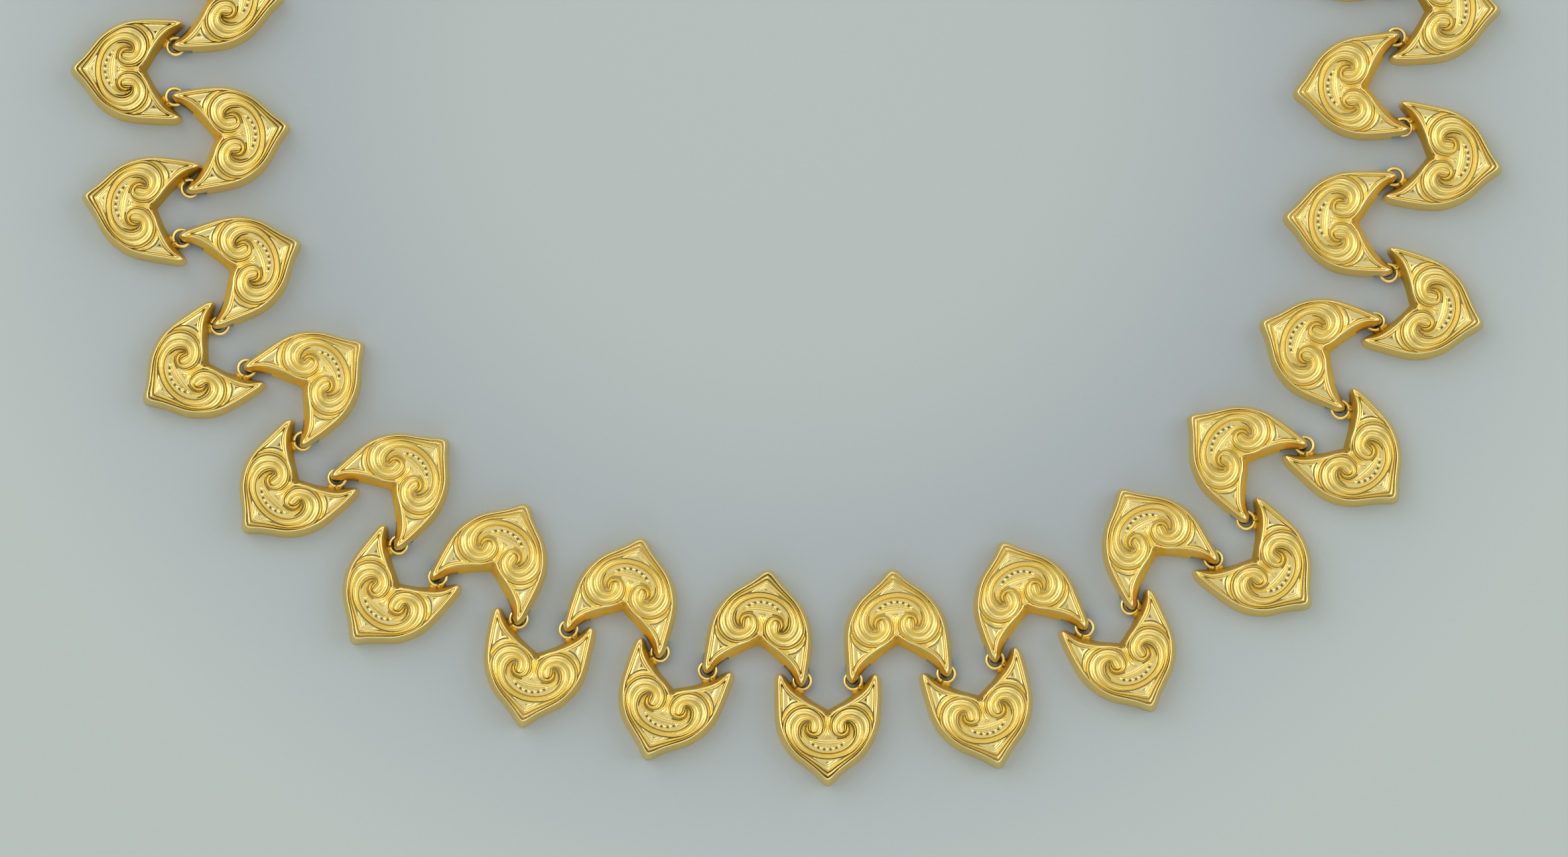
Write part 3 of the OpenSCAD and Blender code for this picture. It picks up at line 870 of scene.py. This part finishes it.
print("painted values: relief, wall, tarnish")

# %% [markdown]
# ## The undercut
# The inner links are cut away under their horns, where the neighbours' eyes lie. A Boolean does
# that in one step, where doing it by hand would mean splitting every wall strip.

# %% Cut the horns free
def undercut(mesh):
    """Cut away what lies under the horns."""
    solid = bpy.data.objects.new("undercut_work", mesh)
    scene.collection.objects.link(solid)
    box = bpy.data.meshes.new("undercut_box")
    x, y0, y1, z0, z1 = 8.0, UNDERCUT_Y, 6.0, -1.0, UNDERCUT_Z
    box.from_pydata(
        [(-x, y0, z0), (x, y0, z0), (x, y1, z0), (-x, y1, z0),
         (-x, y0, z1), (x, y0, z1), (x, y1, z1), (-x, y1, z1)],
        [], [(3, 2, 1, 0), (4, 5, 6, 7), (0, 1, 5, 4), (1, 2, 6, 5), (2, 3, 7, 6), (3, 0, 4, 7)])
    cutter = bpy.data.objects.new("undercut_tool", box)
    scene.collection.objects.link(cutter)
    cut = solid.modifiers.new("cut", "BOOLEAN")
    cut.operation, cut.object, cut.solver = "DIFFERENCE", cutter, "EXACT"
    ready = bpy.context.evaluated_depsgraph_get()
    result = bpy.data.meshes.new_from_object(solid.evaluated_get(ready))
    bpy.data.objects.remove(solid)
    bpy.data.objects.remove(cutter)
    return result


print("cut below in mm:", UNDERCUT_Z, "beyond y:", UNDERCUT_Y)

# %% [markdown]
# ## The two patterns
# All the outer links come from one pattern and all the inner links from another, as if from two
# moulds. Face and body are joined into one mesh, so each link stays a single piece.

# %% Make the two patterns
def copy_of(casting):
    twin = Casting()
    twin.join(casting)
    return twin


def joined(name, first, second, sharp_angle):
    """One mesh of the two, smooth but for edges sharper than the angle in degrees."""
    bm = bmesh.new()
    bm.from_mesh(first)
    bm.from_mesh(second)
    bmesh.ops.triangulate(bm, faces=[f for f in bm.faces if len(f.verts) > 4])
    mesh = bpy.data.meshes.new(name)
    bm.to_mesh(mesh)
    bm.free()
    mesh.shade_smooth()
    mesh.set_sharp_from_angle(angle=math.radians(sharp_angle))
    return mesh


def pattern(name, outer):
    solid = merged(to_mesh(name + "_solid", leaf_body(outer)))
    if not outer:
        solid = undercut(solid)
    rest = copy_of(relief)
    spout(rest)
    (add_eye if outer else add_pin)(rest)
    return joined(name, solid, merged(to_mesh(name + "_relief", rest)), 62)


outer_pattern = pattern("outer_leaf", True)
inner_pattern = pattern("inner_leaf", False)
for mesh in (outer_pattern, inner_pattern):
    mesh.calc_loop_triangles()
    print(mesh.name, "triangles:", len(mesh.loop_triangles))

# %% [markdown]
# ## Effects that both golds share
# Old gold is not one even yellow. The grooves hold a brown film that no cloth reaches, laid in
# together with painted shade; the walls are satin and get a redder tint as a painted reflection;
# and the ridges are rubbed bright. What both metals need is a node group, built once, with named
# inputs that each metal sets for itself.

# %% Helpers for node groups
def new_group(name, inputs, outputs):
    group = bpy.data.node_groups.new(name, "ShaderNodeTree")
    for label, kind, value in inputs:
        socket = group.interface.new_socket(label, in_out="INPUT", socket_type=kind)
        socket.default_value = value
    for label, kind in outputs:
        group.interface.new_socket(label, in_out="OUTPUT", socket_type=kind)
    return group, group.nodes.new("NodeGroupInput"), group.nodes.new("NodeGroupOutput")


def add_node(tree, kind, **settings):
    node = tree.nodes.new(kind)
    for key, value in settings.items():
        setattr(node, key, value)
    return node


def wire(tree, source, target):
    tree.links.new(source, target)


print("helpers:", new_group.__name__, add_node.__name__, wire.__name__)

# %% [markdown]
# ## Painted shade and film in the grooves
# The grooves darken where the relief is low: partly a brown film that gathers there, partly
# painted shade in the recesses. The painted height says where that is, and a noise breaks the
# darkening into patches. Ambient occlusion could find the grooves too, but it would also darken
# the walls wherever two links stand close.

# %% Painted shade and film in the grooves
shade_and_film, shade_and_film_in, shade_and_film_out = new_group(
    "groove_shade_and_film",
    [("Height", "NodeSocketFloat", 1.0), ("Reach", "NodeSocketFloat", 0.5),
     ("Patch Scale", "NodeSocketFloat", 400.0)],
    [("Shade And Film", "NodeSocketFloat")])
where = add_node(shade_and_film, "ShaderNodeTexCoord")
patches = add_node(shade_and_film, "ShaderNodeTexNoise")
patches.inputs["Detail"].default_value = 3.0
below = add_node(shade_and_film, "ShaderNodeMapRange", interpolation_type="SMOOTHSTEP")
below.inputs["To Min"].default_value, below.inputs["To Max"].default_value = 1.0, 0.0
blotch = add_node(shade_and_film, "ShaderNodeMapRange")
blotch.inputs["From Min"].default_value, blotch.inputs["From Max"].default_value = 0.35, 0.65
blotch.inputs["To Min"].default_value, blotch.inputs["To Max"].default_value = 0.72, 1.0
both = add_node(shade_and_film, "ShaderNodeMath", operation="MULTIPLY")
wire(shade_and_film, where.outputs["Object"], patches.inputs["Vector"])
wire(shade_and_film, shade_and_film_in.outputs["Patch Scale"], patches.inputs["Scale"])
wire(shade_and_film, shade_and_film_in.outputs["Height"], below.inputs["Value"])
wire(shade_and_film, shade_and_film_in.outputs["Reach"], below.inputs["From Max"])
wire(shade_and_film, patches.outputs["Fac"], blotch.inputs["Value"])
wire(shade_and_film, below.outputs["Result"], both.inputs[0])
wire(shade_and_film, blotch.outputs["Result"], both.inputs[1])
wire(shade_and_film, both.outputs[0], shade_and_film_out.inputs["Shade And Film"])
print("group:", shade_and_film.name)

# %% [markdown]
# ## Wear from hands
# Handling leaves a fine grain and broad smears, which change the colour and the shine a little.
# The group gives only the two patterns, and each metal decides what they do.

# %% Wear from hands
wear, wear_in, wear_out = new_group(
    "hand_wear",
    [("Grain Scale", "NodeSocketFloat", 5000.0), ("Smear Scale", "NodeSocketFloat", 700.0)],
    [("Grain", "NodeSocketFloat"), ("Smear", "NodeSocketFloat")])
where = add_node(wear, "ShaderNodeTexCoord")
fine = add_node(wear, "ShaderNodeTexNoise")
fine.inputs["Detail"].default_value = 4.0
broad = add_node(wear, "ShaderNodeTexNoise")
broad.inputs["Detail"].default_value = 2.0
wire(wear, where.outputs["Object"], fine.inputs["Vector"])
wire(wear, where.outputs["Object"], broad.inputs["Vector"])
wire(wear, wear_in.outputs["Grain Scale"], fine.inputs["Scale"])
wire(wear, wear_in.outputs["Smear Scale"], broad.inputs["Scale"])
wire(wear, fine.outputs["Fac"], wear_out.inputs["Grain"])
wire(wear, broad.outputs["Fac"], wear_out.inputs["Smear"])
print("groups:", [g.name for g in bpy.data.node_groups])

# %% [markdown]
# ## The colour of the gold
# The base colour starts from the bright metal, turns redder on the walls as a painted reflection,
# takes on smears and ends with a dark brown of film and painted shade. Its amount is the darker
# of what the grooves hold and what is painted on the points as shade and tarnish.

# %% The colour of the gold
# The third colour is the dark brown of the groove film and of the painted shade.
BRIGHT, SMEARED, SHADE_AND_FILM = (0.94, 0.79, 0.33), (0.92, 0.73, 0.26), (0.10, 0.055, 0.01)
# the painted shade and film lie where the relief is lower than this
SHADE_AND_FILM_REACH = 0.62


def colour_gold(tree, shader, wear_node, side, on_walls):
    height = add_node(tree, "ShaderNodeAttribute", attribute_name="relief")
    # This attribute carries painted shade together with tarnish.
    shade_and_stain = add_node(tree, "ShaderNodeAttribute", attribute_name="shade_and_tarnish")
    shade_and_film_node = add_node(tree, "ShaderNodeGroup", node_tree=shade_and_film)
    shade_and_film_node.inputs["Reach"].default_value = SHADE_AND_FILM_REACH
    wire(tree, height.outputs["Fac"], shade_and_film_node.inputs["Height"])

    body_tint = add_node(tree, "ShaderNodeMix", data_type="RGBA")
    body_tint.inputs["A"].default_value = (*BRIGHT, 1)
    body_tint.inputs["B"].default_value = (*on_walls, 1)
    smear_tint = add_node(tree, "ShaderNodeMix", data_type="RGBA")
    smear_tint.inputs["B"].default_value = (*SMEARED, 1)
    smear_amount = add_node(tree, "ShaderNodeMapRange")
    smear_amount.inputs["From Min"].default_value = 0.45
    smear_amount.inputs["From Max"].default_value = 0.8
    smear_amount.inputs["To Max"].default_value = 0.5
    shaded_and_filmed = add_node(tree, "ShaderNodeMix", data_type="RGBA")
    shaded_and_filmed.inputs["B"].default_value = (*SHADE_AND_FILM, 1)
    darkest = add_node(tree, "ShaderNodeMath", operation="MAXIMUM")
    wire(tree, side.outputs["Fac"], body_tint.inputs["Factor"])
    wire(tree, wear_node.outputs["Smear"], smear_amount.inputs["Value"])
    wire(tree, smear_amount.outputs["Result"], smear_tint.inputs["Factor"])
    wire(tree, body_tint.outputs["Result"], smear_tint.inputs["A"])
    wire(tree, smear_tint.outputs["Result"], shaded_and_filmed.inputs["A"])
    wire(tree, shade_and_film_node.outputs["Shade And Film"], darkest.inputs[0])
    wire(tree, shade_and_stain.outputs["Fac"], darkest.inputs[1])
    wire(tree, darkest.outputs[0], shaded_and_filmed.inputs["Factor"])
    wire(tree, shaded_and_filmed.outputs["Result"], shader.inputs["Base Color"])


print("film reaches up to relief:", SHADE_AND_FILM_REACH)

# %% [markdown]
# ## The finish of the gold
# Smears and walls are duller than the ridges, so both raise the roughness. The grain is far too
# fine to model, so it is a bump, the one place where a bump is right.

# %% The finish of the gold
def finish_gold(tree, shader, wear_node, side, rough, grain_depth):
    """rough: least, most, and what the walls add to it; grain_depth in metres."""
    satin = add_node(tree, "ShaderNodeMapRange")
    satin.inputs["From Min"].default_value, satin.inputs["From Max"].default_value = 0.3, 0.7
    satin.inputs["To Min"].default_value, satin.inputs["To Max"].default_value = rough[0], rough[1]
    on_wall = add_node(tree, "ShaderNodeMath", operation="MULTIPLY_ADD")
    on_wall.inputs[1].default_value = rough[2]
    wire(tree, wear_node.outputs["Smear"], satin.inputs["Value"])
    wire(tree, side.outputs["Fac"], on_wall.inputs[0])
    wire(tree, satin.outputs["Result"], on_wall.inputs[2])
    wire(tree, on_wall.outputs[0], shader.inputs["Roughness"])

    bump = add_node(tree, "ShaderNodeBump")
    bump.inputs["Strength"].default_value = 0.5
    bump.inputs["Distance"].default_value = grain_depth
    wire(tree, wear_node.outputs["Grain"], bump.inputs["Height"])
    wire(tree, bump.outputs["Normal"], shader.inputs["Normal"])


def gold(name, on_walls, rough, grain_depth):
    material = bpy.data.materials.new(name)
    tree, shader = plain_nodes(material)
    shader.inputs["Metallic"].default_value = 1.0
    side = add_node(tree, "ShaderNodeAttribute", attribute_name="wall")
    wear_node = add_node(tree, "ShaderNodeGroup", node_tree=wear)
    colour_gold(tree, shader, wear_node, side, on_walls)
    finish_gold(tree, shader, wear_node, side, rough, grain_depth)
    return material


# The wall colours are redder as a painted reflection.
cast_gold = gold("cast_gold", (1.00, 0.64, 0.05), (0.24, 0.36, 0.30), 0.00002)
plain_gold = gold("plain_gold", (0.97, 0.68, 0.17), (0.24, 0.34, 0.10), 0.00001)
print("metals:", cast_gold.name, plain_gold.name)

# %% [markdown]
# ## Setting the links in the ring
# Each link is a copy of its pattern, turned and moved to its place. Handmade castings are never
# quite alike, so every copy is also pushed a few hundredths of a millimetre out of true by a
# slow wave that depends on its number. The same number always gives the same wave.

# %% How the links differ
# How far the groove film is rubbed clean and the painted groove shade lifted with it: on most
# inner and outer links, and on those that differ.
GROOVE_LIFT_INNER, GROOVE_LIFT_OUTER = 0.27, 0.14
GROOVE_LIFT = {
    1: 0.0, 2: -0.10, 3: 0.0, 4: 0.04, 5: 0.08, 6: 0.05, 8: 0.06, 14: 0.06, 15: 0.05, 16: -0.05,
}
# how far a wave pushes the points of a leaf, and the angle by which it differs from link to link
WAVE, WAVE_TURN = 0.035, 2.399
# The links listed have their own amount of groove film and painted groove shade.
print("links with their own amount of dirt:", sorted(GROOVE_LIFT))

# %% [markdown]
# ## Copies
# A copy gets its own mesh, so that the wave and the painted groove shade and film can differ. Its
# points are moved to their place in the ring, rather than the object, because the frame is shared
# with the CAD model.
# Each copy rides on the root body, hides the CAD node that it stands for and wears its metal.

# %% Place the links
def set_in_ring(name, mesh, k, material, nodes):
    copy = mesh.copy()
    copy.name = name
    count = len(copy.vertices)
    p = np.zeros(count * 3, dtype=np.float32)
    copy.vertices.foreach_get("co", p)
    p = p.reshape(-1, 3).astype(float)
    phase = k * WAVE_TURN
    inside = np.clip((3.0 - p[:, 1]) / 1.5, 0, 1)  # the eyes and pins stay in place
    # The painted groove shade and film are lifted by this amount.
    groove_lift = GROOVE_LIFT.get(k, GROOVE_LIFT_OUTER if is_outer(k) else GROOVE_LIFT_INNER)
    height = np.zeros(count, dtype=np.float32)
    copy.attributes["relief"].data.foreach_get("value", height)
    copy.attributes["relief"].data.foreach_set("value", height + (1 - height) * groove_lift)
    p[:, 0] += WAVE * inside * np.sin(0.55 * p[:, 1] + phase)
    p[:, 1] += WAVE * inside * np.sin(0.50 * p[:, 0] + 1.7 * phase)
    a = math.radians(leaf_turn(k))
    x = p[:, 0] * math.cos(a) - p[:, 1] * math.sin(a) + places[k - 1][0]
    y = p[:, 0] * math.sin(a) + p[:, 1] * math.cos(a) + places[k - 1][1]
    placed = np.column_stack([x, y, p[:, 2]]) * MM
    copy.vertices.foreach_set("co", placed.astype(np.float32).ravel())
    copy.materials.clear()
    copy.materials.append(material)
    copy.update()
    piece = bpy.data.objects.new(name, copy)
    scene.collection.objects.link(piece)
    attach(piece, "root")
    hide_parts(*nodes)
    return piece


def node_of(k):
    if k <= SEEN:
        return f"link_{k:02d}"
    return "back_links_right" if k < CLASP_AT else "back_links_left"


placed = []
for k in range(1, MEMBERS + 1):
    if k == CLASP_AT:
        continue
    mesh = outer_pattern if is_outer(k) else inner_pattern
    placed.append(set_in_ring(f"leaf_{k:02d}", mesh, k, cast_gold, [node_of(k)]))
print("leaves placed:", len(placed))

# %% [markdown]
# ## The clasp
# The clasp lies at the back, out of the photograph, so it stays one plain plate in the place of
# an inner link. Its edges are still rounded, because a dead sharp edge catches no light.

# %% The clasp's outline
CLASP_TOP, CLASP_W, CLASP_ARM, CLASP_END = 1.4, 3.20, 1.20, PIN_Y + 0.7
clasp_edge, arm_edge = PIN_X + CLASP_ARM / 2, PIN_X - CLASP_ARM / 2
CLASP_HALF = [
    (0.0, CLASP_TOP), (arm_edge, CLASP_TOP), (arm_edge, CLASP_END), (clasp_edge, CLASP_END),
    (clasp_edge, CLASP_TOP - CLASP_W), (0.0, CLASP_TOP - CLASP_W),
]
# columns: how far in from the outline, height, shine
CLASP_LINES = [
    (0.10, 0.0, 0.8), (0.00, 0.10, 0.8), (0.00, 0.5, 0.8), (0.00, 1.6, 0.8), (0.00, 2.20, 0.8),
    (0.05, 2.33, 0.9), (0.16, 2.40, 1.0),
]


def rounded(outline, radius, steps=4):
    """Cut each corner of half an outline with a small arc; the two ends on the middle stay."""
    p = [np.array(v, float) for v in outline]
    out = [p[0]]
    for a, b, c in zip(p, p[1:], p[2:]):
        u, v = (a - b) / np.linalg.norm(a - b), (c - b) / np.linalg.norm(c - b)
        for i in range(steps + 1):
            t = i / steps
            out.append(b + u * radius * (1 - t) ** 2 + v * radius * t ** 2)
    return np.array(out + [p[-1]])


print("clasp size in mm:", 2 * clasp_edge, "by", round(CLASP_END - CLASP_TOP + CLASP_W, 2))

# %% [markdown]
# ## The plate
# The outline is stacked in rings, drawn in a little at the foot and at the top. That gives the
# same soft edge as a bevel, and the pins are the ones that the inner links have.

# %% Build the plate
plate = Casting()
loop = whole(rounded(CLASP_HALF, 0.22))
along = np.roll(loop, -1, 0) - np.roll(loop, 1, 0)
along /= np.linalg.norm(along, axis=1)[:, None]
inward = np.column_stack([along[:, 1], -along[:, 0]])
grid = [
    np.column_stack([loop + inward * inset, np.full(len(loop), z)]) for inset, z, _ in CLASP_LINES
]
shine = np.array([row[2] for row in CLASP_LINES])
plate.add(np.stack(grid, axis=1), shine, 0.7, closed=True, flip=True)
plate.add_flat(grid[0][:, 0:2], CLASP_LINES[0][1], 0.9, 1.0, False)
plate.add_flat(grid[-1][:, 0:2], CLASP_LINES[-1][1], 0.9, 0.0, True)
plate_mesh = undercut(merged(to_mesh("clasp_plate", plate)))
pins = Casting()
add_pin(pins)
clasp_mesh = joined("clasp_shape", plate_mesh, merged(to_mesh("clasp_pins", pins)), 50)
set_in_ring("clasp_plain", clasp_mesh, CLASP_AT, plain_gold, ["clasp"])
print("clasp triangles:", sum(len(f.vertices) - 2 for f in clasp_mesh.polygons))

# %% [markdown]
